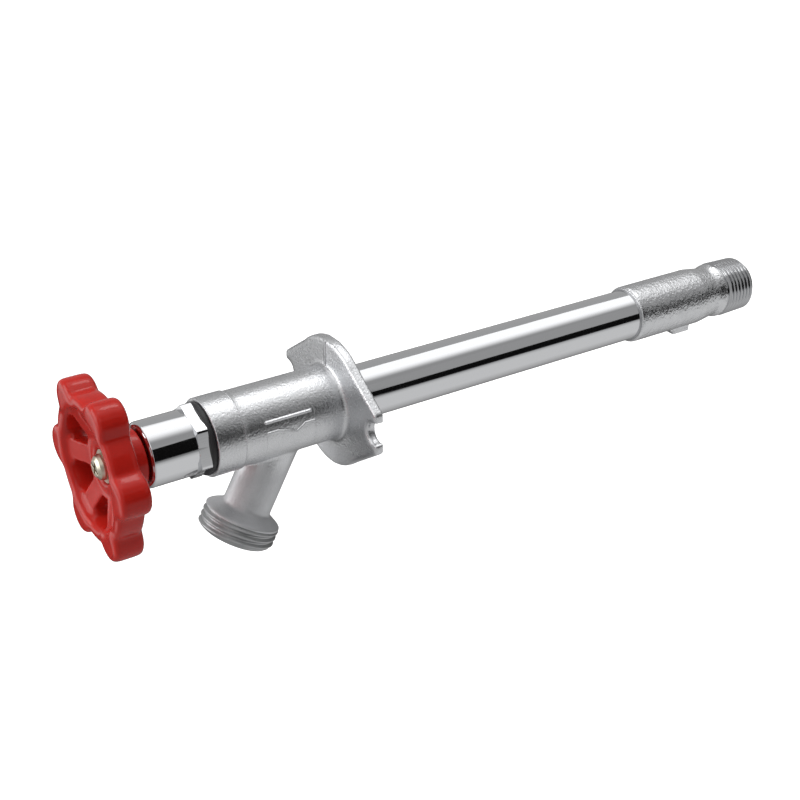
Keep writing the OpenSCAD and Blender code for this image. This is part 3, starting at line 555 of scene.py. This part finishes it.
# a glow that only mirror rays see, carrying that painted shade and painted light
paintedFloorGlow = addNode(tree, "ShaderNodeEmission", {"Strength": shade.outputs[0]})
both = addNode(tree, "ShaderNodeMixShader", {0: ray.outputs["Is Glossy Ray"], 1: shader.outputs[0],
                                             2: paintedFloorGlow.outputs[0]})
fill(tree, shader, {"Base Color": tint.outputs[mixOut], "Roughness": 0.9, "Emission Color": (1, 1, 1, 1),
                    "Emission Strength": glow.outputs[0]})
fill(tree, tree.nodes["Material Output"], {"Surface": both.outputs[0]})
bm = bmesh.new()
bmesh.ops.create_grid(bm, x_segments=1, y_segments=1, size=studio["reach"])
floor = meshObject("floor", bm, floorMaterial)
floor.location.z = studio["floor"]

# the world: white to the camera and in mirrors, a soft fill for everything else
world = bpy.data.worlds.new("studio")
scene.world = world
world.use_nodes = True
tree = world.node_tree
tree.nodes.clear()
ray = addNode(tree, "ShaderNodeLightPath")
either = addNode(tree, "ShaderNodeMath", {0: ray.outputs["Is Camera Ray"], 1: ray.outputs["Is Glossy Ray"]},
                 operation="MAXIMUM")
seen = addNode(tree, "ShaderNodeMath", {0: either.outputs[0], 1: ray.outputs["Is Transmission Ray"]},
               operation="MAXIMUM")
level = addNode(tree, "ShaderNodeMapRange", {"Value": seen.outputs[0],
                                             "To Min": studio["ambient"], "To Max": studio["white"]})
sky = addNode(tree, "ShaderNodeBackground", {"Color": (1, 1, 1, 1), "Strength": level.outputs[0]})
addNode(tree, "ShaderNodeOutputWorld", {"Surface": sky.outputs[0]})

lamps = {
    "keyBox": {"place": (-0.2, -0.35, 1.35), "aim": (0, -0.05, 0), "size": (1.1, 1.1), "power": 15.0,
               "mirrored": False},
    "keySpot": {"place": (-0.3, 0.35, 1.36), "aim": (0, 0, 0), "size": (0.4, 0.4), "power": 1.6,
                "mirrored": True},
    "frontFill": {"place": (-0.5, -1.2, 0.25), "aim": (0, -0.08, 0), "size": (1.1, 1.0), "power": 8.0,
                  "mirrored": True},
}
for name, lamp in lamps.items():
    data = bpy.data.lights.new(name, "AREA")
    data.shape = "RECTANGLE"
    data.size, data.size_y = lamp["size"]
    data.energy = lamp["power"]
    light = bpy.data.objects.new(name, data)
    light.visible_glossy = lamp["mirrored"]
    aimAt(light, lamp["place"], lamp["aim"])


def makeCard(name, bm, level, mottle, fade=None):
    # a felt card that only mirror rays see, its level mottled a little; fade is a change along X
    material, tree, shader, place = newMaterial(name)
    felt = addNode(tree, "ShaderNodeTexNoise", {"Vector": place, "Scale": 40.0})  # nap of 25 mm
    tone = addNode(tree, "ShaderNodeMapRange", {"Value": felt.outputs[0], "To Min": level * (1 - mottle),
                                                "To Max": level * (1 + mottle)})
    if fade:
        axes = addNode(tree, "ShaderNodeSeparateXYZ", {"Vector": place})
        panel = addNode(tree, "ShaderNodeMapRange", {"Value": axes.outputs["X"], **fade},
                        interpolation_type="SMOOTHSTEP")
        tone = addNode(tree, "ShaderNodeMath", {0: panel.outputs[0], 1: tone.outputs[0]}, operation="MULTIPLY")
    fill(tree, shader, {"Base Color": (0, 0, 0, 1), "Specular IOR Level": 0.0,
                        "Emission Color": (1, 1, 1, 1), "Emission Strength": tone.outputs[0]})
    card = meshObject(name, bm, material)
    card.visible_camera = False
    card.visible_diffuse = False
    card.visible_shadow = False
    card.visible_transmission = False


# curved cards round the tap, each from an angle on and turning by so many degrees:
# black for the dark streak along the metal, grey on the other sides
cards = {
    "tallBlackCard": {"from": -20.0, "turn": 49.0, "low": -0.1, "high": 1.2, "away": 1.6, "level": 0.004},
    "lowBlackCard": {"from": 29.0, "turn": 81.0, "low": -0.16, "high": 0.37, "away": 1.6, "level": 0.004},
    "rightCard": {"from": -20.0, "turn": 130.0, "low": 0.0, "high": 1.9, "away": 1.7, "level": 0.34},
    "leftCard": {"from": 110.0, "turn": 135.0, "low": -0.24, "high": 1.9, "away": 1.6, "level": 0.4},
    "cameraCard": {"from": 245.0, "turn": 95.0, "low": -0.24, "high": 1.2, "away": 1.6, "level": 0.4},
}
for name, card in cards.items():
    angle = math.radians(card["from"])
    x, y = card["away"] * math.cos(angle), card["away"] * math.sin(angle)
    bm = bmesh.new()
    dots = [bm.verts.new((x, y, card[side])) for side in ("low", "high")]
    bmesh.ops.spin(bm, geom=dots + [bm.edges.new(dots)], cent=(0, 0, 0), axis=(0, 0, 1), dvec=(0, 0, 0),
                   angle=math.radians(card["turn"]), steps=48)
    makeCard(name, bm, card["level"], mottle=0.1)

# soft white panel overhead, fading to grey on the right
ceiling = {"left": -0.9, "right": 1.4, "front": -0.4, "back": 1.8, "z": 1.39,
           "fade": {"From Min": 0.05, "From Max": 0.9, "To Min": 1.28, "To Max": 0.32}}
bm = bmesh.new()
bm.faces.new([bm.verts.new((ceiling[x], ceiling[y], ceiling["z"])) for x, y in (
    ("left", "front"), ("right", "front"), ("right", "back"), ("left", "back"))])
makeCard("topCard", bm, 1.0, mottle=0.05, fade=ceiling["fade"])
print("studio lit")
